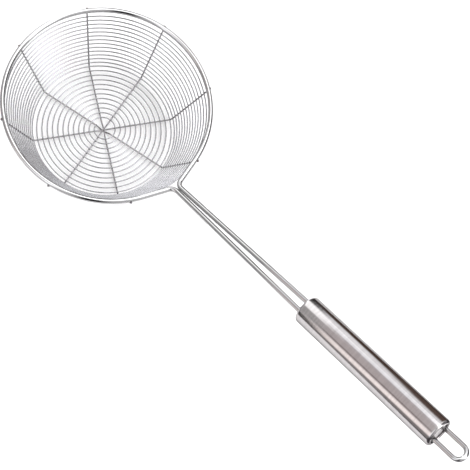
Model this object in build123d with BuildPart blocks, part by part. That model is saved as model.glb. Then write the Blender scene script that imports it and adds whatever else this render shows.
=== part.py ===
from build123d import *
from math import acos, asin, atan2, ceil, cos, degrees, floor, hypot, pi, radians, sin, sqrt, tan
import os

# Spider skimmer: a wire spiral on four crossed ribs, held by a rim wire whose two ends run
# side by side into a tubular handle with a hanging loop. Sizes are in millimetres, +Z is up.
# The origin is the centre of the rim circle, on the plane of the rim wire's centreline, and
# the handle lies over +X.

# Rim and shaft, one bent wire
rim_outer_diameter = 150.0
rim_wire_diameter = 3.5
rim_wire_sides = 10
neck_beyond_rim = 3.45
neck_bend_radius = 5.5
neck_gap = 0.1
shaft_rise_angle = 22.3
shaft_length = 133.7
shaft_spacing_at_handle = 7.9
shaft_end_in_handle = 34.0

# Ribs, welded to the outside of the rim
rib_wire_diameter = 1.1
rib_wire_sides = 6
rib_count = 4
rib_first_azimuth = 19.5
rib_floor_radius = 52.8
rib_floor_depth = 49.6
rib_bend_radius = 3.5
rib_end_past_rim = 0.3
joggle_outer_radius = 5.4
joggle_inner_radius = 2.3
joggle_bend_radius = 1.4

# Spiral, one wire wound on the inside of the ribs
spiral_wire_diameter = 0.9
spiral_wire_sides = 6
spiral_floor_pitch = 3.86
spiral_wall_pitch = 3.58
spiral_start_radius = 6.45
spiral_start_crossing = 12
spiral_stop_below_rim = 3.1
spiral_chord_sagitta = 0.5

# Handle tube, with both ends turned in to a lip
handle_length = 116.0
handle_diameter = 20.0
handle_wall = 1.2
handle_end_radius = 2.0
handle_end_chords = 3
handle_lip_radius = 7.2

# Discs that close the handle behind its lips
disc_thickness = 2.0

# Hanging loop
loop_wire_diameter = 3.0
loop_wire_sides = 10
loop_leg_spacing = 10.0
loop_reach = 21.0
loop_leg_in_handle = 9.0

# Clearances and the overrun of cuts
weld_gap = 0.02
disc_clearance = 0.05
wire_hole_clearance = 0.1
cut_overrun = 1.0

# Worked out from the sizes above
rim_radius = (rim_outer_diameter - rim_wire_diameter) / 2
neck_reach = rim_radius + neck_beyond_rim
rise = radians(shaft_rise_angle)
neck_offset = (rim_wire_diameter + neck_gap) / 2
rib_seat = (rim_wire_diameter + rib_wire_diameter) / 2 + weld_gap
rib_reach = rim_radius - rib_floor_radius
wall_angle = atan2(rib_floor_depth, rib_reach) - asin(rib_seat / hypot(rib_floor_depth, rib_reach))
rib_wall_length = sqrt(rib_floor_depth**2 + rib_reach**2 - rib_seat**2)
rib_layer_step = rib_wire_diameter + weld_gap
spiral_seat = (rib_wire_diameter + spiral_wire_diameter) / 2 + weld_gap
handle_radius = handle_diameter / 2
tube_bore_radius = handle_radius - handle_wall
disc_radius = tube_bore_radius - disc_clearance

# The handle's axis starts at the neck and rises along the shaft
handle_direction = Vector(cos(rise), 0, sin(rise))
neck = Vector(neck_reach, 0, 0)
handle_front = neck + handle_direction * shaft_length
handle_axis = Axis(handle_front, handle_direction)
# Local X runs along the handle from its front end, local Y is upwards or sideways
upright_plane = Plane(origin=handle_front, x_dir=handle_direction, z_dir=(0, -1, 0))
level_plane = Plane(origin=handle_front, x_dir=handle_direction, z_dir=(-sin(rise), 0, cos(rise)))


def neck_corner(side):
    return Vector(neck_reach, side * neck_offset, 0)


def shaft_line(side):
    """Start and unit direction of one shaft wire, side being +1 or -1 along Y."""
    entry = handle_front + Vector(0, side * shaft_spacing_at_handle / 2, 0)
    return neck_corner(side), (entry - neck_corner(side)).normalized()


def shaft_end(side):
    start, direction = shaft_line(side)
    return start + direction * (shaft_length + shaft_end_in_handle)


# Rim and shaft: up one shaft wire, round the rim and back along the other
def make_rim_and_shaft():
    leave_angle = atan2(neck_offset, neck_reach) + acos(rim_radius / hypot(neck_reach, neck_offset))
    leave_x = rim_radius * cos(leave_angle)
    leave_y = rim_radius * sin(leave_angle)
    arc_size = 360 - 2 * degrees(leave_angle)
    with BuildPart() as rim_and_shaft_wire:
        with BuildLine() as centreline:
            FilletPolyline(
                shaft_end(1), neck_corner(1), (leave_x, leave_y, 0), radius=neck_bend_radius
            )
            CenterArc((0, 0), rim_radius, degrees(leave_angle), arc_size)
            FilletPolyline(
                (leave_x, -leave_y, 0), neck_corner(-1), shaft_end(-1), radius=neck_bend_radius
            )
        path = centreline.wire()
        with BuildSketch(Plane(origin=path @ 0, z_dir=path % 0)):
            RegularPolygon(rim_wire_diameter / 2, rim_wire_sides)
        sweep(path=path)
    return rim_and_shaft_wire.part


# Ribs: each lies in its own upright plane, flat under the spiral and up the wall to the rim.
# At the centre the ribs step up or down, so that they cross in layers.
def make_rib(index):
    layer = (index - (rib_count - 1) / 2) * rib_layer_step
    wall_length = rib_wall_length + rib_end_past_rim
    end = (rib_floor_radius + wall_length * cos(wall_angle), wall_length * sin(wall_angle) - rib_floor_depth)
    half = [
        end,
        (rib_floor_radius, -rib_floor_depth),
        (joggle_outer_radius, -rib_floor_depth),
        (joggle_inner_radius, layer - rib_floor_depth),
    ]
    other_half = [(-x, z) for x, z in reversed(half)]
    radii = [rib_bend_radius, joggle_bend_radius, joggle_bend_radius]
    azimuth = radians(rib_first_azimuth + index * 180 / rib_count)
    rib_plane = Plane(
        origin=(0, 0, 0), x_dir=(cos(azimuth), sin(azimuth), 0), z_dir=(sin(azimuth), -cos(azimuth), 0)
    )
    with BuildPart() as rib:
        with BuildLine(rib_plane) as centreline:
            FilletPolyline(*half, *other_half, radius=radii + radii[::-1])
        path = centreline.wire()
        with BuildSketch(Plane(origin=path @ 0, x_dir=rib_plane.z_dir, z_dir=path % 0)):
            RegularPolygon(rib_wire_diameter / 2, rib_wire_sides)
        sweep(path=path)
    return rib.part


# Spiral: its profile is the ribs' profile moved inwards by the seat
spiral_corner_radius = rib_floor_radius - spiral_seat * tan(wall_angle / 2)
spiral_floor_height = spiral_seat - rib_floor_depth
corner_arc_radius = rib_bend_radius - spiral_seat
corner_tangent = corner_arc_radius * tan(wall_angle / 2)
rim_foot = (rim_radius - spiral_corner_radius) * cos(wall_angle) - spiral_floor_height * sin(wall_angle)
spiral_last_slant = spiral_corner_radius + rim_foot - spiral_stop_below_rim


def profile_point(slant):
    """Radius and height at a length along the floor and up the wall, the corner being rounded."""
    beyond = slant - spiral_corner_radius
    if beyond <= -corner_tangent:
        return slant, spiral_floor_height
    if beyond >= corner_tangent:
        radius = spiral_corner_radius + beyond * cos(wall_angle)
        return radius, spiral_floor_height + beyond * sin(wall_angle)
    turned = wall_angle * (beyond + corner_tangent) / (2 * corner_tangent)
    radius = spiral_corner_radius - corner_tangent + corner_arc_radius * sin(turned)
    return radius, spiral_floor_height + corner_arc_radius * (1 - cos(turned))


def slant_after(turns):
    """Length along the profile after a number of turns from the inner end."""
    floor_turns = (spiral_corner_radius - spiral_start_radius) / spiral_floor_pitch
    if turns <= floor_turns:
        return spiral_start_radius + turns * spiral_floor_pitch
    return spiral_corner_radius + (turns - floor_turns) * spiral_wall_pitch


def spiral_points():
    """Points from the inner end to the last rib below the rim.

    One point lies on every rib leg, where the wire is welded, and each stretch between two legs
    has as many equal chords as its radius needs.
    """
    legs = 2 * rib_count
    leg_angle = 2 * pi / legs
    start_angle = radians(rib_first_azimuth) + spiral_start_crossing * leg_angle
    floor_turns = (spiral_corner_radius - spiral_start_radius) / spiral_floor_pitch
    wall_turns = (spiral_last_slant - spiral_corner_radius) / spiral_wall_pitch
    stretches = floor((floor_turns + wall_turns) * legs)
    points = []
    for stretch in range(stretches):
        radius, _ = profile_point(slant_after(stretch / legs))
        chords = ceil(leg_angle / (2 * acos(1 - spiral_chord_sagitta / radius)))
        for chord in range(chords):
            points.append(spiral_point((stretch + chord / chords) / legs, start_angle))
    points.append(spiral_point(stretches / legs, start_angle))
    return points


def spiral_point(turns, start_angle):
    radius, height = profile_point(slant_after(turns))
    angle = start_angle + 2 * pi * turns
    return Vector(radius * cos(angle), radius * sin(angle), height)


def least_gap(points, wire_diameter):
    """Least clear distance between a point of the wire and the wire one turn or more away."""
    gap = rim_outer_diameter
    for index, point in enumerate(points):
        turned = 0
        for following, other in zip(points[index:], points[index + 1:]):
            turned += radians(Vector(following.X, following.Y).get_angle(Vector(other.X, other.Y)))
            if turned > 3 * pi:
                break
            if turned > pi:
                gap = min(gap, (other - point).length - wire_diameter)
    return gap


def mitred_wire(points, first_ring):
    """Solid of a many-sided wire, straight from point to point and mitred at each of them.

    The first ring holds the section's corners round the first point. Each corner is carried
    along its stretch of wire to the mitre plane, so that every face is flat.
    """
    directions = [(after - before).normalized() for before, after in zip(points, points[1:])]
    rings = [first_ring]
    for point, arriving, leaving in zip(points[1:], directions, directions[1:] + directions[-1:]):
        mitre = (arriving + leaving).normalized()
        slope = arriving.dot(mitre)
        ring = [corner + arriving * ((point - corner).dot(mitre) / slope) for corner in rings[-1]]
        rings.append(ring)
    faces = [Face(Wire.make_polygon(ring)) for ring in (rings[0], rings[-1])]
    for ring, following in zip(rings, rings[1:]):
        for corner in range(len(ring)):
            back = corner - 1
            outline = [ring[back], ring[corner], following[corner], following[back]]
            faces.append(Face(Wire.make_polygon(outline)))
    return Solid(Shell(faces))


def make_spiral():
    points = spiral_points()
    start_plane = Plane(origin=points[0], x_dir=(0, 0, 1), z_dir=points[1] - points[0])
    wire_radius = spiral_wire_diameter / 2
    side_angle = 2 * pi / spiral_wire_sides
    first_ring = []
    for corner in range(spiral_wire_sides):
        across = Vector(wire_radius * cos(corner * side_angle), wire_radius * sin(corner * side_angle))
        first_ring.append(start_plane.from_local_coords(across))
    with BuildPart() as basket_spiral:
        add(mitred_wire(points, first_ring))
    length = sum((after - before).length for before, after in zip(points, points[1:]))
    swept_volume = spiral_wire_sides / 2 * wire_radius**2 * sin(side_angle) * length
    print("spiral chords:", len(points) - 1)
    print("spiral volume over section times length:", basket_spiral.part.volume / swept_volume)
    print("spiral least gap to itself:", least_gap(points, spiral_wire_diameter))
    return basket_spiral.part


# Handle tube: its half section turned round the handle's axis. The inside corners stay square.
def make_handle_tube():
    front_corner = []
    for chord in range(handle_end_chords + 1):
        turned = pi / 2 * chord / handle_end_chords
        along = handle_end_radius * (1 - cos(turned))
        across = handle_end_radius * (1 - sin(turned))
        front_corner.append((along, handle_radius - across))
    rear_corner = [(handle_length - along, radius) for along, radius in reversed(front_corner)]
    with BuildPart() as handle_tube:
        with BuildSketch(upright_plane):
            with BuildLine():
                Polyline(
                    (0, handle_lip_radius),
                    *front_corner,
                    *rear_corner,
                    (handle_length, handle_lip_radius),
                    (handle_length - handle_wall, handle_lip_radius),
                    (handle_length - handle_wall, tube_bore_radius),
                    (handle_wall, tube_bore_radius),
                    (handle_wall, handle_lip_radius),
                    close=True,
                )
            make_face()
        revolve(axis=handle_axis)
    return handle_tube.part


def make_disc(distance, hole_lines, hole_radius):
    """A disc across the handle, its front face at a distance behind the handle's front end."""
    with BuildPart() as disc:
        with BuildSketch(Plane(origin=handle_front, z_dir=handle_direction).offset(distance)):
            Circle(disc_radius)
        extrude(amount=disc_thickness)
        for origin, direction in hole_lines:
            with BuildSketch(Plane(origin=origin, z_dir=direction)):
                Circle(hole_radius)
            extrude(amount=disc_thickness + cut_overrun, both=True, mode=Mode.SUBTRACT)
    return disc.part


# Front disc: the shaft wires pass through it, a little spread
def make_front_disc():
    hole_lines = []
    for side in (1, -1):
        start, direction = shaft_line(side)
        hole_lines.append((start + direction * (shaft_length + handle_wall), direction))
    hole_radius = rim_wire_diameter / 2 + wire_hole_clearance
    return make_disc(handle_wall + weld_gap, hole_lines, hole_radius)


# End disc: the hanging loop's legs pass square through it
def make_end_disc():
    distance = handle_length - handle_wall - weld_gap - disc_thickness
    hole_lines = []
    for side in (1, -1):
        origin = handle_front + handle_direction * distance + Vector(0, side * loop_leg_spacing / 2, 0)
        hole_lines.append((origin, handle_direction))
    hole_radius = loop_wire_diameter / 2 + wire_hole_clearance
    return make_disc(distance, hole_lines, hole_radius)


# Hanging loop: two parallel legs and a half circle, level across the handle
def make_hanging_loop():
    bend_radius = loop_leg_spacing / 2
    inner_end = handle_length - loop_leg_in_handle
    bend_start = handle_length + loop_reach - bend_radius - loop_wire_diameter / 2
    with BuildPart() as hanging_loop:
        with BuildLine(level_plane) as centreline:
            Line((inner_end, bend_radius), (bend_start, bend_radius))
            CenterArc((bend_start, 0), bend_radius, 90, -180)
            Line((bend_start, -bend_radius), (inner_end, -bend_radius))
        path = centreline.wire()
        with BuildSketch(Plane(origin=path @ 0, z_dir=path % 0)):
            RegularPolygon(loop_wire_diameter / 2, loop_wire_sides)
        sweep(path=path)
    return hanging_loop.part


pieces = {
    "rim_and_shaft_wire": make_rim_and_shaft(),
    "basket_spiral": make_spiral(),
    "handle_tube": make_handle_tube(),
    "handle_front_disc": make_front_disc(),
    "handle_end_disc": make_end_disc(),
    "hanging_loop": make_hanging_loop(),
}
for index in range(rib_count):
    pieces[f"basket_rib_{index + 1}"] = make_rib(index)

os.makedirs("parts", exist_ok=True)
for name, piece in pieces.items():
    piece.label = name
    export_step(piece, f"parts/{name}.step")
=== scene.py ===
from math import acos, asin, atan2, cos, hypot, pi, radians, sin, sqrt, tan

import bmesh
import bpy
from bpy.props import FloatProperty, FloatVectorProperty, IntProperty, PointerProperty
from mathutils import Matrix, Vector


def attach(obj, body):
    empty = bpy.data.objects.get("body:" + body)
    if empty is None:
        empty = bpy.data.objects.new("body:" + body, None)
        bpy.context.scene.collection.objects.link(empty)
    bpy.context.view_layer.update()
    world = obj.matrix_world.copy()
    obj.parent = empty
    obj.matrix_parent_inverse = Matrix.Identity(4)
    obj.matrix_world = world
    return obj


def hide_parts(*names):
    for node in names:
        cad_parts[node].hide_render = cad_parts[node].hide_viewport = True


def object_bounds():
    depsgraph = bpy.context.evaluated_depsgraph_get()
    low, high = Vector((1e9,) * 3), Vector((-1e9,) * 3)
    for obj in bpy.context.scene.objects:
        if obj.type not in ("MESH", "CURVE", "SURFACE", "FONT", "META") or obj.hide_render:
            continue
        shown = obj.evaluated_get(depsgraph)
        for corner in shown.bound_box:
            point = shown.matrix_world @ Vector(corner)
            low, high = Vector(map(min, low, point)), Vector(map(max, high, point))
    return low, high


bl_info = {
    "name": "Spider skimmer",
    "version": (1, 0, 0),
    "blender": (4, 5, 0),
    "location": "3D View > Sidebar > Skimmer",
    "description": "Builds a wire spider skimmer with its welds, its brushed handle and a plain studio",
    "category": "Object",
}

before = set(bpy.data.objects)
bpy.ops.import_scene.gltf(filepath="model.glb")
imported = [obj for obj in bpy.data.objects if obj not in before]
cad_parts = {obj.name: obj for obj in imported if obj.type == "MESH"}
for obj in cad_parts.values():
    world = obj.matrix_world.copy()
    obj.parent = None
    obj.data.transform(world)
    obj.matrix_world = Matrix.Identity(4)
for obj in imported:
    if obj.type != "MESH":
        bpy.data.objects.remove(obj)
cad_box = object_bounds()


def length_property(name, metres, description):
    return FloatProperty(name=name, description=description, default=metres, min=0.0, unit="LENGTH")


def angle_property(name, degrees, description):
    return FloatProperty(name=name, description=description, default=radians(degrees), unit="ROTATION")


def colour_property(name, colour, description):
    return FloatVectorProperty(
        name=name, description=description, default=colour, size=3, min=0.0, max=1.0, subtype="COLOR"
    )


class SkimmerBasketSizes(bpy.types.PropertyGroup):
    rim_outer_diameter: length_property("Rim across", 0.150, "Outer diameter of the rim wire's circle")
    rim_wire: length_property("Rim wire", 0.0035, "Diameter of the wire of the rim and shaft")
    neck_beyond_rim: length_property("Neck beyond rim", 0.00345, "From the rim's circle out to the neck")
    neck_bend: length_property("Neck bend", 0.0055, "Radius of the bends from the rim into the shaft")
    neck_gap: length_property("Neck gap", 0.0001, "Gap between the two shaft wires at the neck")
    rib_wire: length_property("Rib wire", 0.0011, "Diameter of the rib wires")
    rib_count: IntProperty(name="Ribs", description="Wires that cross under the basket", default=4, min=2)
    rib_first_azimuth: angle_property("First rib", 19.5, "Direction of the first rib from the handle's side")
    rib_floor_radius: length_property("Floor radius", 0.0528, "From the centre to the ribs' outer bend")
    rib_floor_depth: length_property("Floor depth", 0.0496, "From the rim down to the ribs on the floor")
    rib_bend: length_property("Rib bend", 0.0035, "Radius of the bend from the floor into the wall")
    rib_past_rim: length_property("Rib past rim", 0.0003, "What a rib reaches beyond its weld on the rim")
    joggle_outer: length_property("Joggle outside", 0.0054, "Where a rib starts to step at the centre")
    joggle_inner: length_property("Joggle inside", 0.0023, "Where a rib has stepped at the centre")
    joggle_bend: length_property("Joggle bend", 0.0014, "Radius of the steps at the centre")
    spiral_wire: length_property("Spiral wire", 0.0009, "Diameter of the spiral wire")
    floor_pitch: length_property("Floor pitch", 0.00386, "From turn to turn on the floor")
    wall_pitch: length_property("Wall pitch", 0.00358, "From turn to turn up the wall")
    spiral_start: length_property("Spiral start", 0.00645, "Radius at which the spiral starts")
    start_crossing: IntProperty(name="Start", description="Rib leg on which the spiral starts", default=12)
    stop_below_rim: length_property("Stop below rim", 0.0031, "Height left free below the rim")
    weld_gap: length_property("Weld gap", 0.00002, "Seat gap of welded wires, filled by the weld")


class SkimmerHandleSizes(bpy.types.PropertyGroup):
    rise: angle_property("Rise", 22.3, "Angle of the shaft and handle above the rim's plane")
    shaft_length: length_property("Shaft", 0.1337, "From the neck to the handle")
    shaft_spacing: length_property("Shaft spacing", 0.0079, "Between the shaft wires at the handle")
    shaft_in_handle: length_property("Shaft in handle", 0.034, "What the shaft wires reach into the handle")
    tube_length: length_property("Handle", 0.116, "Length of the handle tube")
    tube_diameter: length_property("Handle across", 0.020, "Outer diameter of the handle tube")
    tube_wall: length_property("Handle wall", 0.0012, "Sheet thickness of the handle tube")
    tube_end_radius: length_property("Handle end radius", 0.002, "Rounding of the tube's turned-in ends")
    lip_radius: length_property("Handle lip", 0.0072, "Radius of the opening in the turned-in ends")
    loop_wire: length_property("Loop wire", 0.003, "Diameter of the hanging loop's wire")
    loop_spacing: length_property("Loop legs", 0.010, "Between the two legs of the hanging loop")
    loop_reach: length_property("Loop reach", 0.021, "What the loop stands out of the handle")
    loop_in_handle: length_property("Loop in handle", 0.009, "What the loop's legs reach into the handle")


class SkimmerFinishes(bpy.types.PropertyGroup):
    wire_colour: colour_property("Wire", (0.50, 0.50, 0.50), "Polished stainless steel of rim and loop")
    basket_wire_colour: colour_property("Basket wire", (0.33, 0.33, 0.34), "Bright drawn spiral wire")
    rib_colour: colour_property("Rib wire", (0.28, 0.27, 0.28), "Ribs, dulled by the heat of their welds")
    weld_colour: colour_property("Welds", (0.16, 0.15, 0.16), "Burnt steel of the spot welds")
    # Painted light: lighter than the burnt basket welds, against the shade inside the handle's ends.
    entry_weld_painted_lighter_colour: colour_property(
        "Entry welds", (0.36, 0.35, 0.35), "Welds in the handle's ends, painted lighter against their shade"
    )
    handle_colour: colour_property("Handle", (0.55, 0.53, 0.53), "Finely brushed stainless steel")
    drawn_line_depth: length_property("Drawn lines", 0.000012, "Depth of the lines left by the drawing die")
    brushing_depth: length_property("Brushing", 0.000012, "Depth of the brushing round the handle")


class SkimmerStudio(bpy.types.PropertyGroup):
    floor_radius: length_property("Floor radius", 0.33, "Radius of the round table under the skimmer")
    floor_drop: length_property("Floor drop", 0.0002, "Space between the lowest wire and the table")
    floor_colour: colour_property("Floor", (0.80, 0.80, 0.80), "Pale table")
    floor_glow: FloatProperty(name="Floor glow", description="Light through the table", default=0.25, min=0.0)
    studio_colour: colour_property("Studio light", (0.88, 0.87, 0.88), "Light where no panel is")
    lens: FloatProperty(
        name="Lens", description="Focal length on a 36 mm sensor", default=80.556, unit="CAMERA"
    )


def basket():
    return bpy.context.scene.skimmer_basket


def handle():
    return bpy.context.scene.skimmer_handle


def finishes():
    return bpy.context.scene.skimmer_finishes


def studio():
    return bpy.context.scene.skimmer_studio


class Signal:
    """An output socket with Python's arithmetic. An expression on it adds Math nodes to its tree."""

    def __init__(self, tree, socket):
        self.tree = tree
        self.socket = socket

    def math(self, operation, *values):
        return self.tree.add("ShaderNodeMath", dict(enumerate(values)), operation=operation)

    def __add__(self, other):
        return self.math("ADD", self, other)

    def __sub__(self, other):
        return self.math("SUBTRACT", self, other)

    def __mul__(self, other):
        return self.math("MULTIPLY", self, other)

    def __truediv__(self, other):
        return self.math("DIVIDE", self, other)

    def __rsub__(self, other):
        return self.math("SUBTRACT", other, self)

    __radd__ = __add__
    __rmul__ = __mul__

    def __abs__(self):
        return self.math("ABSOLUTE", self)

    def ramp(self, start, end):
        """0 at the start value, 1 at the end value, with a soft rise between them."""
        limits = {"Value": self, "From Min": start, "From Max": end}
        return self.tree.add("ShaderNodeMapRange", limits, interpolation_type="SMOOTHSTEP")


class Tree:
    """A node tree that is being written. Its add method makes the nodes."""

    def __init__(self, tree):
        self.tree = tree

    def add(self, kind, inputs=(), output=0, **settings):
        """Makes a node, sets it up, fills its sockets with values or signals, and gives one output."""
        node = self.tree.nodes.new(kind)
        for name, value in settings.items():
            setattr(node, name, value)
        for name, value in dict(inputs).items():
            if isinstance(value, Signal):
                self.tree.links.new(value.socket, node.inputs[name])
            else:
                node.inputs[name].default_value = value
        return Signal(self, node.outputs[output]) if len(node.outputs) else None

    def mix(self, factor, first, second):
        """A colour between two colours."""
        return self.add("ShaderNodeMix", {0: factor, 6: first, 7: second}, output=2, data_type="RGBA")

    def vector(self, x, y, z):
        return self.add("ShaderNodeCombineXYZ", {"X": x, "Y": y, "Z": z})

    def parts(self, vector):
        """The three numbers of a vector."""
        split = self.add("ShaderNodeSeparateXYZ", {"Vector": vector}).socket.node
        return [Signal(self, socket) for socket in split.outputs]

    def noise(self, vector, scale, detail=2.0):
        """Smooth noise from 0 to 1, of a number of grains for each unit of the vector."""
        inputs = {"Vector": vector, "Scale": scale, "Detail": detail}
        return self.add("ShaderNodeTexNoise", inputs)


# Materials


def opaque(colour):
    """A colour with the full fourth channel that a colour socket needs."""
    return (*colour, 1.0)


def shaded(colour, level):
    """A colour made darker or lighter."""
    return opaque(level * channel for channel in colour)


def new_material(name):
    """An empty material and the tree to write it in."""
    material = bpy.data.materials.new(name)
    material.use_nodes = True
    material.node_tree.nodes.clear()
    return material, Tree(material.node_tree)


def finish_material(tree, colour, roughness, normal):
    """Ends a metal's tree in its shader. The tint keeps its grazing reflections dark."""
    inputs = {
        "Base Color": colour,
        "Metallic": 1.0,
        "Roughness": roughness,
        "Specular Tint": (0.3, 0.3, 0.3, 1.0),
        "Normal": normal,
    }
    surface = tree.add("ShaderNodeBsdfPrincipled", inputs)
    tree.add("ShaderNodeOutputMaterial", {"Surface": surface})


def drawn_wire_material(name, colour, least_roughness, streak_contrast):
    """Steel wire with fine lines along it, from the die that it was drawn through."""
    lines_round_wire = 5.0
    lines_along_metre = 60.0
    smudges_along_metre = 300.0
    roughness_spread = 0.05
    dull_lines = shaded(colour, 1 - streak_contrast)
    dull_smudges = shaded(colour, 1 - 2 * streak_contrast)
    material, tree = new_material(name)
    section = tree.add("ShaderNodeAttribute", output="Vector", attribute_name="section")
    along = tree.add("ShaderNodeAttribute", output="Fac", attribute_name="along")
    x, y, _ = tree.parts(section)
    lines = tree.noise(tree.vector(x, y, along * (lines_along_metre / lines_round_wire)), lines_round_wire)
    smudges = tree.noise(tree.vector(x, y, along * smudges_along_metre), 1.0)
    tone = tree.mix(lines.ramp(0.35, 0.65), dull_lines, opaque(colour))
    tone = tree.mix(smudges.ramp(0.55, 0.8) * streak_contrast, tone, dull_smudges)
    roughness = smudges * roughness_spread + lines * roughness_spread + least_roughness
    bump = {"Height": lines, "Distance": finishes().drawn_line_depth, "Strength": 0.5}
    finish_material(tree, tone, roughness, tree.add("ShaderNodeBump", bump))
    return material


def weld_material(name, burnt):
    """Burnt metal of a spot weld: grey to brown, pitted and dull."""
    pits_per_metre = 2500.0
    pit_depth = 0.00005
    tints_per_metre = 350.0
    least_roughness = 0.3
    roughness_spread = 0.3
    browning = (1.15, 0.95, 0.8)
    brown = opaque(channel * change for channel, change in zip(burnt, browning))
    bare_metal = shaded(burnt, 1.8)
    material, tree = new_material(name)
    place = tree.add("ShaderNodeTexCoord", output="Object")
    pits = tree.noise(place, pits_per_metre)
    tints = tree.noise(place, tints_per_metre)
    tone = tree.mix(tints.ramp(0.4, 0.6), opaque(burnt), brown)
    tone = tree.mix(pits.ramp(0.5, 0.7), tone, bare_metal)
    roughness = pits * roughness_spread + least_roughness
    bump = {"Height": pits, "Distance": pit_depth, "Strength": 0.6}
    finish_material(tree, tone, roughness, tree.add("ShaderNodeBump", bump))
    return material


def handle_place(tree):
    """Object coordinates turned so that X runs along the handle from its front end."""
    front, direction = handle_axis()
    inputs = {
        "Vector": tree.add("ShaderNodeTexCoord", output="Object"),
        "Location": front,
        "Rotation": (0.0, -handle().rise, 0.0),
    }
    return tree.parts(tree.add("ShaderNodeMapping", inputs, vector_type="TEXTURE"))


def brushed_handle_material():
    """Stainless tube brushed round its axis, darker and smoother where its ends are rolled in."""
    brush_lines_per_metre = 1800.0
    broad_lines_per_metre = 300.0
    drift_per_metre = 30.0
    least_roughness = 0.08
    colour = finishes().handle_colour
    dark_brushing, bright_brushing = shaded(colour, 0.90), shaded(colour, 1.04)
    broad_marks, rolled_steel = shaded(colour, 0.86), shaded(colour, 0.9)
    material, tree = new_material("Brushed handle steel")
    x, y, z = handle_place(tree)
    stretch = drift_per_metre / brush_lines_per_metre
    fine = tree.noise(tree.vector(x, y * stretch, z * stretch), brush_lines_per_metre, 3.0)
    stretch = drift_per_metre / broad_lines_per_metre
    broad = tree.noise(tree.vector(x, y * stretch, z * stretch), broad_lines_per_metre)
    smudges = tree.noise(tree.vector(x, y, z), drift_per_metre * 2)
    tone = tree.mix(fine.ramp(0.3, 0.7), dark_brushing, bright_brushing)
    tone = tree.mix(broad.ramp(0.35, 0.7) * 0.35, tone, broad_marks)
    middle = handle().tube_length / 2
    rolled = abs(x - middle).ramp(middle - 2 * handle().tube_end_radius, middle)
    tone = tree.mix(rolled * 0.5, tone, rolled_steel)
    roughness = (fine * 0.06 + smudges * 0.05 + least_roughness) * (1 - rolled * 0.3)
    bump = {"Height": fine, "Distance": finishes().brushing_depth, "Strength": 0.2}
    finish_material(tree, tone, roughness, tree.add("ShaderNodeBump", bump))
    return material


def disc_material():
    """Blanked sheet steel of the discs inside the handle's ends, with faint rolling marks. Its tones are
    painted lighter than the handle's steel, as painted light against the shade that the loop and the
    turned-in lip cast on it.
    """
    marks_per_metre = 900.0
    mark_depth = 0.00001
    stains_per_metre = 250.0
    least_roughness = 0.22
    colour = finishes().handle_colour
    # Painted light: both tones are the handle's steel made lighter, against the shade that the loop and the
    # turned-in lip cast on the disc.
    painted_light_dull_marks, painted_light_bright_marks = shaded(colour, 1.1), shaded(colour, 1.3)
    stained = shaded(colour, 0.8)
    material, tree = new_material("Disc sheet steel")
    x, y, z = handle_place(tree)
    marks = tree.noise(tree.vector(x * 0.2, y, z * 0.05), marks_per_metre)
    stains = tree.noise(tree.vector(x, y, z), stains_per_metre)
    tone = tree.mix(marks.ramp(0.3, 0.7), painted_light_dull_marks, painted_light_bright_marks)
    tone = tree.mix(stains.ramp(0.45, 0.75) * 0.5, tone, stained)
    roughness = stains * 0.2 + least_roughness
    bump = {"Height": marks, "Distance": mark_depth, "Strength": 0.4}
    finish_material(tree, tone, roughness, tree.add("ShaderNodeBump", bump))
    return material


# Paths of the wires


def handle_axis():
    """Front end and unit direction of the handle."""
    rise = handle().rise
    direction = Vector((cos(rise), 0, sin(rise)))
    neck = Vector((rim_radius() + basket().neck_beyond_rim, 0, 0))
    return neck + direction * handle().shaft_length, direction


def rim_radius():
    return (basket().rim_outer_diameter - basket().rim_wire) / 2


def rounded_path(corners, radii):
    """Points of a bent wire: straight between its corners, with an arc of the given radius at each."""
    arc_step = radians(7)
    points = [corners[0]]
    for before, corner, after, radius in zip(corners, corners[1:], corners[2:], radii):
        back = (before - corner).normalized()
        ahead = (after - corner).normalized()
        half_angle = back.angle(ahead) / 2
        centre = corner + (back + ahead).normalized() * (radius / sin(half_angle))
        start = (corner + back * (radius / tan(half_angle)) - centre).normalized()
        end = (corner + ahead * (radius / tan(half_angle)) - centre).normalized()
        count = max(2, round(start.angle(end) / arc_step))
        for index in range(count + 1):
            points.append(centre + start.slerp(end, index / count) * radius)
    points.append(corners[-1])
    return points


def rim_and_shaft_path():
    """Up one shaft wire from inside the handle, round the rim and back along the other."""
    rim_points = 240
    radius = rim_radius()
    neck_reach = radius + basket().neck_beyond_rim
    neck_offset = (basket().rim_wire + basket().neck_gap) / 2
    leave_angle = atan2(neck_offset, neck_reach) + acos(radius / hypot(neck_reach, neck_offset))
    front, direction = handle_axis()
    ends = []
    for side in (1, -1):
        corner = Vector((neck_reach, side * neck_offset, 0))
        entry = front + Vector((0, side * handle().shaft_spacing / 2, 0))
        length = handle().shaft_length + handle().shaft_in_handle
        shaft_end = corner + (entry - corner).normalized() * length
        leave = Vector((radius * cos(leave_angle), side * radius * sin(leave_angle), 0))
        ends.append(rounded_path([shaft_end, corner, leave], [basket().neck_bend]))
    arc = []
    for index in range(1, rim_points):
        angle = leave_angle + (2 * pi - 2 * leave_angle) * index / rim_points
        arc.append(Vector((radius * cos(angle), radius * sin(angle), 0)))
    return ends[0] + arc + ends[1][::-1]


def wall_angle():
    """Slope of the basket's wall, the ribs lying outside the rim and touching it."""
    reach = rim_radius() - basket().rib_floor_radius
    depth = basket().rib_floor_depth
    return atan2(depth, reach) - asin(rib_seat() / hypot(depth, reach))


def rib_seat():
    """Between the centrelines of the rim and of a rib that is welded to it."""
    return (basket().rim_wire + basket().rib_wire) / 2 + basket().weld_gap


def rib_leg_angle(leg):
    """Direction of a rib's leg, of which each rib has two."""
    return basket().rib_first_azimuth + leg * pi / basket().rib_count


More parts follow.
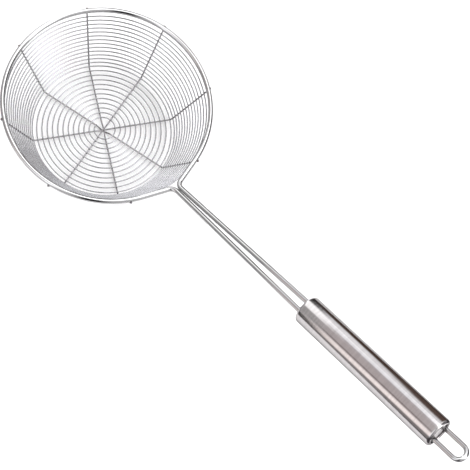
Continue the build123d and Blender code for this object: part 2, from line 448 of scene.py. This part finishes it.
def rib_path(index):
    """From rim to rim through the centre, where the ribs step to cross in layers."""
    reach = rim_radius() - basket().rib_floor_radius
    depth = basket().rib_floor_depth
    layer = (index - (basket().rib_count - 1) / 2) * (basket().rib_wire + basket().weld_gap)
    length = sqrt(depth**2 + reach**2 - rib_seat() ** 2) + basket().rib_past_rim
    half = [
        (basket().rib_floor_radius + length * cos(wall_angle()), length * sin(wall_angle()) - depth),
        (basket().rib_floor_radius, -depth),
        (basket().joggle_outer, -depth),
        (basket().joggle_inner, layer - depth),
    ]
    outline = half + [(-across, height) for across, height in reversed(half)]
    angle = rib_leg_angle(index)
    corners = [Vector((across * cos(angle), across * sin(angle), height)) for across, height in outline]
    radii = [basket().rib_bend, basket().joggle_bend, basket().joggle_bend]
    return rounded_path(corners, radii + radii[::-1])


def spiral_seat():
    """Between the centrelines of the ribs and of the spiral that is welded into them."""
    return (basket().rib_wire + basket().spiral_wire) / 2 + basket().weld_gap


def spiral_corner():
    """Radius and height of the corner of the spiral's profile."""
    radius = basket().rib_floor_radius - spiral_seat() * tan(wall_angle() / 2)
    return radius, spiral_seat() - basket().rib_floor_depth


def spiral_place(turns):
    """Point of the spiral after a number of turns, with the slope of the basket there."""
    corner_radius, floor_height = spiral_corner()
    wall = wall_angle()
    floor_turns = (corner_radius - basket().spiral_start) / basket().floor_pitch
    pitch = basket().floor_pitch if turns < floor_turns else basket().wall_pitch
    beyond = (turns - floor_turns) * pitch
    arc_radius = basket().rib_bend - spiral_seat()
    tangent = arc_radius * tan(wall / 2)
    if beyond <= -tangent:
        radius, height, slope = corner_radius + beyond, floor_height, 0.0
    elif beyond >= tangent:
        radius = corner_radius + beyond * cos(wall)
        height, slope = floor_height + beyond * sin(wall), wall
    else:
        slope = wall * (beyond + tangent) / (2 * tangent)
        radius = corner_radius - tangent + arc_radius * sin(slope)
        height = floor_height + arc_radius * (1 - cos(slope))
    angle = rib_leg_angle(basket().start_crossing) + 2 * pi * turns
    return Vector((radius * cos(angle), radius * sin(angle), height)), slope


def spiral_crossings():
    """How many stretches the spiral has from rib leg to rib leg."""
    corner_radius, floor_height = spiral_corner()
    wall = wall_angle()
    foot = (rim_radius() - corner_radius) * cos(wall) - floor_height * sin(wall)
    floor_turns = (corner_radius - basket().spiral_start) / basket().floor_pitch
    wall_turns = (foot - basket().stop_below_rim) / basket().wall_pitch
    return int((floor_turns + wall_turns) * 2 * basket().rib_count)


def spiral_path():
    """Points of the spiral from its start on the floor to its end below the rim."""
    points_per_stretch = 12
    count = spiral_crossings() * points_per_stretch
    legs = 2 * basket().rib_count
    return [spiral_place(index / points_per_stretch / legs)[0] for index in range(count + 1)]


def loop_path():
    """Two legs out of the handle, joined by a half circle that lies level across it."""
    front, direction = handle_axis()
    half = handle().loop_spacing / 2
    bend_start = handle().tube_length + handle().loop_reach - half - handle().loop_wire / 2
    leg_end = handle().tube_length - handle().loop_in_handle
    bend_points = 28
    level = [(leg_end, half)]
    for index in range(bend_points + 1):
        angle = pi / 2 - pi * index / bend_points
        level.append((bend_start + half * cos(angle), half * sin(angle)))
    level.append((leg_end, -half))
    return [front + direction * along + Vector((0, across, 0)) for along, across in level]


# Geometry node trees


def new_geometry_tree(name, inputs):
    """A geometry tree with named inputs, and the signals of its inputs."""
    group = bpy.data.node_groups.new(name, "GeometryNodeTree")
    group.interface.new_socket("Geometry", in_out="INPUT", socket_type="NodeSocketGeometry")
    for input_name, kind in inputs.items():
        group.interface.new_socket(input_name, in_out="INPUT", socket_type=kind)
    group.interface.new_socket("Geometry", in_out="OUTPUT", socket_type="NodeSocketGeometry")
    tree = Tree(group)
    source = group.nodes.new("NodeGroupInput")
    signals = {name: Signal(tree, source.outputs[name]) for name in ("Geometry", *inputs)}
    return group, tree, signals


def end_geometry_tree(tree, geometry, material):
    """Every tree ends in plain geometry that wears its material."""
    plain = tree.add("GeometryNodeRealizeInstances", {"Geometry": geometry})
    worn = tree.add("GeometryNodeSetMaterial", {"Geometry": plain, "Material": material})
    tree.add("NodeGroupOutput", {"Geometry": worn})


def stored(tree, geometry, name, kind, value):
    """The geometry with a value kept on its points under a name."""
    inputs = {"Geometry": geometry, "Name": name, "Value": value}
    return tree.add("GeometryNodeStoreNamedAttribute", inputs, data_type=kind, domain="POINT")


def wire_tree():
    """Sweeps a round wire along the edges of a path. Its material can follow it by two attributes."""
    group, tree, given = new_geometry_tree(
        "Drawn wire",
        {"Diameter": "NodeSocketFloat", "Sides": "NodeSocketInt", "Material": "NodeSocketMaterial"},
    )
    path = tree.add("GeometryNodeMeshToCurve", {"Mesh": given["Geometry"]})
    length = tree.add("GeometryNodeSplineParameter", output="Length")
    path = stored(tree, path, "along", "FLOAT", length)
    thickness = tree.add(
        "GeometryNodeInputNamedAttribute", {"Name": "thickness"}, output="Attribute", data_type="FLOAT"
    )
    path = tree.add("GeometryNodeSetCurveRadius", {"Curve": path, "Radius": thickness})
    circle = tree.add(
        "GeometryNodeCurvePrimitiveCircle", {"Resolution": given["Sides"], "Radius": given["Diameter"] / 2}
    )
    place = tree.add("GeometryNodeInputPosition")
    outward = tree.add("ShaderNodeVectorMath", {0: place}, operation="NORMALIZE")
    circle = stored(tree, circle, "section", "FLOAT_VECTOR", outward)
    swept = tree.add("GeometryNodeCurveToMesh", {"Curve": path, "Profile Curve": circle, "Fill Caps": True})
    smooth = tree.add("GeometryNodeSetShadeSmooth", {"Geometry": swept, "Shade Smooth": True})
    end_geometry_tree(tree, smooth, given["Material"])
    return group


def weld_tree():
    """Puts a flattened bead of weld metal on each point, turned to the two wires that cross there."""
    size_spread = 0.15
    group, tree, given = new_geometry_tree(
        "Weld beads",
        {"Segments": "NodeSocketInt", "Rings": "NodeSocketInt", "Material": "NodeSocketMaterial"},
    )
    bead = tree.add(
        "GeometryNodeMeshUVSphere", {"Segments": given["Segments"], "Rings": given["Rings"], "Radius": 1.0}
    )
    turn = None
    for axis, name in (("Z", "outward"), ("X", "along_rib")):
        direction = tree.add(
            "GeometryNodeInputNamedAttribute", {"Name": name}, output="Attribute", data_type="FLOAT_VECTOR"
        )
        inputs = {"Vector": direction} if turn is None else {"Rotation": turn, "Vector": direction}
        pivot = "AUTO" if turn is None else "Z"
        turn = tree.add("FunctionNodeAlignRotationToVector", inputs, axis=axis, pivot_axis=pivot)
    size = tree.add(
        "GeometryNodeInputNamedAttribute", {"Name": "bead_size"}, output="Attribute", data_type="FLOAT_VECTOR"
    )
    random = {"Min": (1 - size_spread,) * 3, "Max": (1 + size_spread,) * 3, "Seed": 4}
    uneven = tree.add("FunctionNodeRandomValue", random, data_type="FLOAT_VECTOR")
    scale = tree.add("ShaderNodeVectorMath", {0: size, 1: uneven}, operation="MULTIPLY")
    points = tree.add("GeometryNodeMeshToPoints", {"Mesh": given["Geometry"]})
    inputs = {"Points": points, "Instance": bead, "Rotation": turn, "Scale": scale}
    beads = tree.add("GeometryNodeInstanceOnPoints", inputs)
    smooth = tree.add("GeometryNodeSetShadeSmooth", {"Geometry": beads, "Shade Smooth": True})
    end_geometry_tree(tree, smooth, given["Material"])
    return group


def linked_object(name, mesh):
    piece = bpy.data.objects.new(name, mesh)
    bpy.context.scene.collection.objects.link(piece)
    return piece


def grown_piece(name, points, edges, attributes, group, values):
    """Runs a geometry tree on a mesh of points and edges, and keeps the result as a plain mesh."""
    mesh = bpy.data.meshes.new(name)
    mesh.from_pydata(points, edges, [])
    for attribute_name, (kind, field, numbers) in attributes.items():
        attribute = mesh.attributes.new(attribute_name, kind, "POINT")
        attribute.data.foreach_set(field, numbers)
    piece = linked_object(name, mesh)
    modifier = piece.modifiers.new("Shape", "NODES")
    modifier.node_group = group
    for item in group.interface.items_tree:
        if item.in_out == "INPUT" and item.name in values:
            modifier[item.identifier] = values[item.name]
    graph = bpy.context.evaluated_depsgraph_get()
    grown = bpy.data.meshes.new_from_object(
        piece.evaluated_get(graph), preserve_all_data_layers=True, depsgraph=graph
    )
    if not grown.polygons:
        raise RuntimeError(f"{name} came out empty")
    piece.modifiers.remove(modifier)
    piece.data = grown
    bpy.data.meshes.remove(mesh)
    return piece


def wire_piece(name, path, diameter, sides, material, rounded_ends=False):
    """A wire along a path, cut square or with its ends rounded over."""
    thickness = [1.0] * len(path)
    if rounded_ends:
        path, thickness = with_round_ends(path, diameter / 2)
    edges = [(index, index + 1) for index in range(len(path) - 1)]
    attributes = {"thickness": ("FLOAT", "value", thickness)}
    values = {"Diameter": diameter, "Sides": sides, "Material": material}
    return grown_piece(name, path, edges, attributes, shared_tree(wire_tree), values)


def with_round_ends(path, radius):
    """The path with its ends drawn in along a quarter circle, and the thickness at each point."""
    steps = 4
    cleared = radius * 1.05
    for _ in range(2):
        path = path[::-1]
        tip = path[0]
        inward = (path[1] - tip).normalized()
        cap = []
        for step in range(1, steps + 1):
            turned = pi / 2 * step / steps
            cap.append(tip + inward * (radius * (1 - cos(turned))))
        following = 1
        while (path[following] - tip).dot(inward) < cleared:
            following += 1
        path = cap + path[following:]
    scales = [sin(pi / 2 * step / steps) for step in range(1, steps + 1)]
    return path, scales + [1.0] * (len(path) - 2 * steps) + scales[::-1]


def shared_tree(maker):
    """The tree of this maker, made on first use."""
    if maker.__name__ not in made_trees:
        made_trees[maker.__name__] = maker()
    return made_trees[maker.__name__]


made_trees = {}


def turned_mesh(name, profile, origin, direction, segments):
    """A mesh turned round an axis. The closed profile has lengths along the axis and radii."""
    mesh = bpy.data.meshes.new(name)
    shape = bmesh.new()
    add_turned(shape, profile, origin, direction, segments)
    bmesh.ops.recalc_face_normals(shape, faces=shape.faces)
    shape.to_mesh(mesh)
    shape.free()
    mesh.shade_smooth()
    return mesh


def add_turned(shape, profile, origin, direction, segments):
    """Adds a closed profile turned round an axis to a mesh that is being made."""
    turn = direction.to_track_quat("Z", "Y")
    rings = []
    for index in range(segments):
        angle = 2 * pi * index / segments
        ring = []
        for along, radius in profile:
            place = Vector((radius * cos(angle), radius * sin(angle), along))
            ring.append(shape.verts.new(origin + turn @ place))
        rings.append(ring)
    for ring, following in zip(rings, rings[1:] + rings[:1]):
        for corner in range(len(ring)):
            after = (corner + 1) % len(ring)
            shape.faces.new((ring[corner], following[corner], following[after], ring[after]))


# Operators


class SKIMMER_OT_rim_and_shaft(bpy.types.Operator):
    """Bend the rim wire with its two shaft wires"""

    bl_idname = "skimmer.rim_and_shaft"
    bl_label = "Rim and shaft wire"

    def execute(self, context):
        material = drawn_wire_material(
            "Polished rim wire", finishes().wire_colour, least_roughness=0.04, streak_contrast=0.06
        )
        wire = wire_piece(
            "rim_and_shaft", rim_and_shaft_path(), basket().rim_wire, sides=32, material=material
        )
        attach(wire, "root")
        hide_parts("rim_and_shaft_wire")
        return {"FINISHED"}


class SKIMMER_OT_ribs(bpy.types.Operator):
    """Bend the ribs that cross under the basket"""

    bl_idname = "skimmer.ribs"
    bl_label = "Ribs"

    def execute(self, context):
        material = drawn_wire_material(
            "Rib wire steel", finishes().rib_colour, least_roughness=0.16, streak_contrast=0.10
        )
        for index in range(basket().rib_count):
            name = f"rib_{index + 1}"
            path = rib_path(index)
            wire = wire_piece(
                name, path, basket().rib_wire, sides=16, material=material, rounded_ends=True
            )
            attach(wire, "root")
            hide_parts(f"basket_rib_{index + 1}")
        return {"FINISHED"}


class SKIMMER_OT_spiral(bpy.types.Operator):
    """Wind the spiral of the basket"""

    bl_idname = "skimmer.spiral"
    bl_label = "Spiral wire"

    def execute(self, context):
        colour = finishes().basket_wire_colour
        material = drawn_wire_material(
            "Spiral wire steel", colour, least_roughness=0.10, streak_contrast=0.08
        )
        path = spiral_path()
        wire = wire_piece(
            "spiral", path, basket().spiral_wire, sides=12, material=material, rounded_ends=True
        )
        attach(wire, "root")
        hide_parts("basket_spiral")
        return {"FINISHED"}


class SKIMMER_OT_basket_welds(bpy.types.Operator):
    """Spot-weld the spiral to the ribs, and the ribs to the rim"""

    bl_idname = "skimmer.basket_welds"
    bl_label = "Basket welds"

    def execute(self, context):
        material = weld_material("Burnt weld metal", finishes().weld_colour)
        spots = []
        legs = 2 * basket().rib_count
        for crossing in range(spiral_crossings() + 1):
            place, slope = spiral_place(crossing / legs)
            around = Vector((place.x, place.y, 0)).normalized()
            outward, along_rib = wall_directions(around, slope)
            centre = place + outward * (basket().spiral_wire / 2)
            spots.append((centre, outward, along_rib, crossing_bead_size()))
        self.add_welds("crossing_welds", spots, segments=8, rings=6, material=material)
        spots = []
        for leg in range(legs):
            angle = rib_leg_angle(leg)
            around = Vector((cos(angle), sin(angle), 0))
            outward, along_rib = wall_directions(around, wall_angle())
            centre = around * rim_radius() + outward * (basket().rim_wire / 2)
            spots.append((centre, outward, along_rib, rim_bead_size()))
        self.add_welds("rim_welds", spots, segments=16, rings=10, material=material)
        return {"FINISHED"}

    def add_welds(self, name, spots, segments, rings, material):
        points = [centre for centre, _, _, _ in spots]
        attributes = {
            "outward": ("FLOAT_VECTOR", "vector", flat(spot[1] for spot in spots)),
            "along_rib": ("FLOAT_VECTOR", "vector", flat(spot[2] for spot in spots)),
            "bead_size": ("FLOAT_VECTOR", "vector", flat(spot[3] for spot in spots)),
        }
        values = {"Segments": segments, "Rings": rings, "Material": material}
        welds = grown_piece(name, points, [], attributes, shared_tree(weld_tree), values)
        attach(welds, "root")


def wall_directions(around, slope):
    """Out through the basket and up along its ribs, where it has this slope."""
    outward = around * sin(slope) - Vector((0, 0, cos(slope)))
    along_rib = around * cos(slope) + Vector((0, 0, sin(slope)))
    return outward, along_rib


def flat(vectors):
    """The numbers of all the vectors in one list, as an attribute takes them."""
    return [number for vector in vectors for number in vector]


def crossing_bead_size():
    """Half sizes of a bead between spiral and rib: along the rib, across it, and through both."""
    return 0.75 * basket().spiral_wire, 0.62 * basket().rib_wire, 0.36 * basket().spiral_wire


def rim_bead_size():
    """Half sizes of the bead between a rib's end and the rim."""
    return 0.48 * basket().rim_wire, 0.80 * basket().rib_wire, 0.55 * basket().rib_wire


class SKIMMER_OT_handle_tube(bpy.types.Operator):
    """Roll the handle tube with its turned-in ends"""

    bl_idname = "skimmer.handle_tube"
    bl_label = "Handle tube"

    def execute(self, context):
        front, direction = handle_axis()
        mesh = turned_mesh("handle_tube", handle_profile(), front, direction, segments=128)
        tube = linked_object("handle_shell", mesh)
        mesh.materials.append(brushed_handle_material())
        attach(tube, "root")
        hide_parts("handle_tube")
        return {"FINISHED"}


def handle_profile():
    """Half section of the tube as lengths along it and radii, the sheet having the same wall all over."""
    steps = 8
    sizes = handle()
    outside = []
    inside = []
    inner_bend = sizes.tube_end_radius - sizes.tube_wall
    bend_radius = sizes.tube_diameter / 2 - sizes.tube_end_radius
    for step in range(steps + 1):
        angle = pi / 2 * step / steps
        outside.append((
            sizes.tube_end_radius * (1 - sin(angle)),
            bend_radius + sizes.tube_end_radius * cos(angle),
        ))
        inside.append((
            sizes.tube_end_radius - inner_bend * sin(angle),
            bend_radius + inner_bend * cos(angle),
        ))
    lip_bend = sizes.tube_wall / 2
    lip = []
    for step in range(steps + 1):
        angle = pi * step / steps
        lip.append((lip_bend - lip_bend * cos(angle), sizes.lip_radius + lip_bend - lip_bend * sin(angle)))
    front = outside + lip + inside[::-1]
    rear = [(sizes.tube_length - along, radius) for along, radius in reversed(front)]
    return front + rear


class SKIMMER_OT_handle_discs(bpy.types.Operator):
    """Finish the two discs in the handle's ends and weld the wires into them"""

    bl_idname = "skimmer.handle_discs"
    bl_label = "Handle discs"

    def execute(self, context):
        sheet = disc_material()
        for node in ("handle_front_disc", "handle_end_disc"):
            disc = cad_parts[node]
            disc.data.materials.clear()
            disc.data.materials.append(sheet)
        mesh = bpy.data.meshes.new("wire_entry_welds")
        shape = bmesh.new()
        front, direction = handle_axis()
        recess = handle().tube_wall + basket().weld_gap
        ends = (
            (recess, handle().shaft_spacing, -direction, basket().rim_wire),
            (handle().tube_length - recess, handle().loop_spacing, direction, handle().loop_wire),
        )
        for side in (1, -1):
            for along, spacing, outward, wire in ends:
                entry = front + direction * along + Vector((0, side * spacing / 2, 0))
                add_collar(shape, entry, outward, wire / 2)
        bmesh.ops.recalc_face_normals(shape, faces=shape.faces)
        shape.to_mesh(mesh)
        shape.free()
        mesh.shade_smooth()
        # The collars wear weld metal painted lighter, a painted light against the shade inside the handle's
        # ends.
        mesh.materials.append(weld_material("Wire entry weld", finishes().entry_weld_painted_lighter_colour))
        collars = linked_object("wire_entry_welds", mesh)
        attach(collars, "root")
        return {"FINISHED"}


def add_collar(shape, place, outward, wire_radius):
    """A small hollow fillet of weld metal round a wire, on the face of a disc."""
    steps = 5
    size = 0.4 * wire_radius
    profile = [(-size / 2, wire_radius)]
    for step in range(steps + 1):
        angle = pi / 2 * step / steps
        profile.append((size * (1 - sin(angle)), wire_radius + size * (1 - cos(angle))))
    profile.append((-size / 2, wire_radius + size))
    add_turned(shape, profile, place, outward, segments=32)


class SKIMMER_OT_hanging_loop(bpy.types.Operator):
    """Bend the hanging loop at the end of the handle"""

    bl_idname = "skimmer.hanging_loop"
    bl_label = "Hanging loop"

    def execute(self, context):
        material = drawn_wire_material(
            "Polished loop wire", finishes().wire_colour, least_roughness=0.03, streak_contrast=0.06
        )
        wire = wire_piece("loop", loop_path(), handle().loop_wire, sides=32, material=material)
        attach(wire, "root")
        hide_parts("hanging_loop")
        return {"FINISHED"}


# Stage


def studio_panels():
    """Light panels and dark gaps of the studio, the later ones standing before the earlier ones.

    Each is limited along some measures of a direction: its parts x, y and z, its tilt, which is x
    with a little y, its azimuth and elevation in degrees, its lean along the handle from -1 to 1,
    and its turn round the handle in degrees, from level on the left over the top. A limit has a
    middle, a half width and the softness of its edges.
    """
    handle_lean = (-0.26, 0.155, 0.04)
    shaft_lean = (-0.51, 0.10, 0.02)
    overhead = (1.0, 0.1, 0.04)
    return (
        # Light from beyond the basket, from the handle's side and from the right
        ({"azimuth": (150, 32, 40), "elevation": (40, 35, 30)}, (1.6, 1.6, 1.62)),
        ({"azimuth": (14, 22, 20)}, (1.20, 1.19, 1.20)),
        ({"azimuth": (-92, 14, 18)}, (1.8, 1.77, 1.82)),
        # A dark gap on the left, the dim horizon and the dark ground
        ({"azimuth": (66, 20, 22), "elevation": (15, 34, 24)}, (0.16, 0.15, 0.16)),
        ({"elevation": (2, 7, 8)}, (0.50, 0.49, 0.52)),
        ({"z": (-0.5, 0.5, 0.02)}, (0.14, 0.13, 0.14)),
        # Strip lights overhead and to the left of it
        ({"tilt": (-0.05, 0.05, 0.08), "z": (0.6, 0.45, 0.2)}, (2.3, 2.3, 2.35)),
        ({"y": (0.12, 0.12, 0.08), "z": overhead}, (1.3, 1.3, 1.3)),
        ({"y": (0.345, 0.17, 0.10), "x": (-0.03, 0.89, 0.07)}, (4.2, 4.2, 4.25)),
        # Along the handle: two broad greys, a dark left, and narrow dark, bright and grey strips on the right
        ({"lean": handle_lean, "turn": (130, 55, 30)}, (0.73, 0.66, 0.66)),
        ({"lean": handle_lean, "turn": (66, 10, 44)}, (0.62, 0.64, 0.70)),
        ({"lean": handle_lean, "turn": (0, 20, 14)}, (0.11, 0.07, 0.055)),
        ({"lean": (-0.15, 0.10, 0.10), "turn": (14, 22, 20)}, (0.15, 0.10, 0.085)),
        ({"lean": handle_lean, "turn": (135, 4, 6)}, (0.34, 0.28, 0.28)),
        ({"lean": handle_lean, "turn": (159, 13, 9)}, (1.65, 1.52, 1.47)),
        ({"lean": handle_lean, "turn": (188, 8, 8)}, (0.36, 0.33, 0.33)),
        # Along the shaft: grey all over the top, a bright strip in it, and dark strips left and right
        ({"lean": shaft_lean, "turn": (100, 100, 20)}, (0.60, 0.59, 0.59)),
        ({"lean": shaft_lean, "turn": (72, 25, 14)}, (2.0, 2.0, 2.0)),
        ({"lean": shaft_lean, "turn": (8, 32, 8)}, (0.02, 0.018, 0.018)),
        ({"lean": shaft_lean, "turn": (176, 16, 8)}, (0.05, 0.05, 0.05)),
        # Dark gaps on the handle's right and overhead
        ({"azimuth": (-46, 12, 14), "elevation": (25, 55, 10)}, (0.05, 0.045, 0.05)),
        ({"x": (0.05, 0.08, 0.06), "y": (-0.13, 0.08, 0.06), "z": overhead}, (0.05, 0.05, 0.05)),
    )


def make_world():
    """Soft studio light from all round, with brighter and darker panels. The camera sees plain white."""
    tilt_to_left = 0.18
    backdrop = (1.05, 1.05, 1.05, 1.0)
    to_degrees = 180 / pi
    world = bpy.data.worlds.new("Studio")
    world.use_nodes = True
    world.node_tree.nodes.clear()
    tree = Tree(world.node_tree)
    x, y, z = tree.parts(tree.add("ShaderNodeTexCoord", output="Generated"))
    rise = handle().rise
    up = z * cos(rise) - x * sin(rise)
    measures = {
        "x": x,
        "y": y,
        "z": z,
        "azimuth": y.math("ARCTAN2", y, x) * to_degrees,
        "elevation": z.math("ARCSINE", z) * to_degrees,
        "tilt": x + y * tilt_to_left,
        "lean": x * cos(rise) + z * sin(rise),
        "turn": up.math("ARCTAN2", up, y) * to_degrees,
    }
    light = opaque(studio().studio_colour)
    for limits, colour in studio_panels():
        mask = 1.0
        for measure, (middle, half, softness) in limits.items():
            distance = abs(measures[measure] - middle)
            if measure in ("azimuth", "turn"):
                distance = distance.math("MINIMUM", distance, 360 - distance)
            mask = distance.ramp(half + softness / 2, half - softness / 2) * mask
        light = tree.mix(mask, light, opaque(colour))
    seen = tree.add("ShaderNodeLightPath", output="Is Camera Ray")
    sky = tree.add("ShaderNodeBackground", {"Color": tree.mix(seen, light, backdrop), "Strength": 1.0})
    tree.add("ShaderNodeOutputWorld", {"Surface": sky})
    bpy.context.scene.world = world


def floor_material():
    """Pale table, lit from above and faintly from below."""
    grain_per_metre = 60.0
    material, tree = new_material("Pale table")
    place = tree.add("ShaderNodeTexCoord", output="Object")
    grain = tree.noise(place, grain_per_metre)
    colour = studio().floor_colour
    tone = tree.mix(grain, shaded(colour, 0.98), opaque(colour))
    inputs = {
        "Base Color": tone,
        "Roughness": 0.9,
        "Specular IOR Level": 0.0,
        "Emission Color": (1.0, 1.0, 1.0, 1.0),
        "Emission Strength": studio().floor_glow,
    }
    surface = tree.add("ShaderNodeBsdfPrincipled", inputs)
    tree.add("ShaderNodeOutputMaterial", {"Surface": surface})
    return material


class SKIMMER_OT_stage(bpy.types.Operator):
    """Set up the table, the studio light and the camera"""

    bl_idname = "skimmer.stage"
    bl_label = "Stage"

    def execute(self, context):
        low, high = (Vector(corner) for corner in cad_box)
        middle = (low + high) / 2
        mesh = bpy.data.meshes.new("table")
        shape = bmesh.new()
        bmesh.ops.create_circle(shape, cap_ends=True, segments=96, radius=studio().floor_radius)
        place = Vector((middle.x, middle.y, low.z - studio().floor_drop))
        bmesh.ops.translate(shape, verts=shape.verts, vec=place)
        shape.to_mesh(mesh)
        shape.free()
        mesh.materials.append(floor_material())
        table = linked_object("table", mesh)
        make_world()
        make_camera()
        context.scene.view_settings.view_transform = "Standard"
        return {"FINISHED"}


def make_camera():
    """The photograph's viewpoint, above the basket's right side."""
    place = Vector((0.209931, -0.229061, 0.687789))
    turn = (radians(17.0891), radians(-11.0636), radians(50.5359))
    camera = bpy.data.cameras.new("Camera")
    camera.lens = studio().lens
    camera.sensor_width = 36.0
    camera.clip_start = 0.01
    viewer = bpy.data.objects.new("Camera", camera)
    viewer.location = place
    viewer.rotation_euler = turn
    bpy.context.scene.collection.objects.link(viewer)
    bpy.context.scene.camera = viewer


# Sidebar panel


BUILD_ORDER = (
    SKIMMER_OT_rim_and_shaft,
    SKIMMER_OT_ribs,
    SKIMMER_OT_spiral,
    SKIMMER_OT_basket_welds,
    SKIMMER_OT_handle_tube,
    SKIMMER_OT_handle_discs,
    SKIMMER_OT_hanging_loop,
    SKIMMER_OT_stage,
)
PROPERTY_GROUPS = {
    "skimmer_basket": SkimmerBasketSizes,
    "skimmer_handle": SkimmerHandleSizes,
    "skimmer_finishes": SkimmerFinishes,
    "skimmer_studio": SkimmerStudio,
}


class SKIMMER_PT_build(bpy.types.Panel):
    """Sizes and finishes of the skimmer, and its building steps"""

    bl_idname = "SKIMMER_PT_build"
    bl_label = "Spider skimmer"
    bl_space_type = "VIEW_3D"
    bl_region_type = "UI"
    bl_category = "Skimmer"

    def draw(self, context):
        for name, group in PROPERTY_GROUPS.items():
            column = self.layout.column(align=True)
            for setting in group.__annotations__:
                column.prop(getattr(context.scene, name), setting)
        for operator in BUILD_ORDER:
            self.layout.operator(operator.bl_idname)


def register():
    for group in PROPERTY_GROUPS.values():
        bpy.utils.register_class(group)
    for name, group in PROPERTY_GROUPS.items():
        setattr(bpy.types.Scene, name, PointerProperty(type=group))
    for operator in BUILD_ORDER:
        bpy.utils.register_class(operator)
    bpy.utils.register_class(SKIMMER_PT_build)


def unregister():
    bpy.utils.unregister_class(SKIMMER_PT_build)
    for operator in reversed(BUILD_ORDER):
        bpy.utils.unregister_class(operator)
    for name, group in PROPERTY_GROUPS.items():
        delattr(bpy.types.Scene, name)
        bpy.utils.unregister_class(group)


def main():
    register()
    bpy.ops.skimmer.rim_and_shaft()
    bpy.ops.skimmer.ribs()
    bpy.ops.skimmer.spiral()
    bpy.ops.skimmer.basket_welds()
    bpy.ops.skimmer.handle_tube()
    bpy.ops.skimmer.handle_discs()
    bpy.ops.skimmer.hanging_loop()
    bpy.ops.skimmer.stage()


if __name__ == "__main__":
    main()
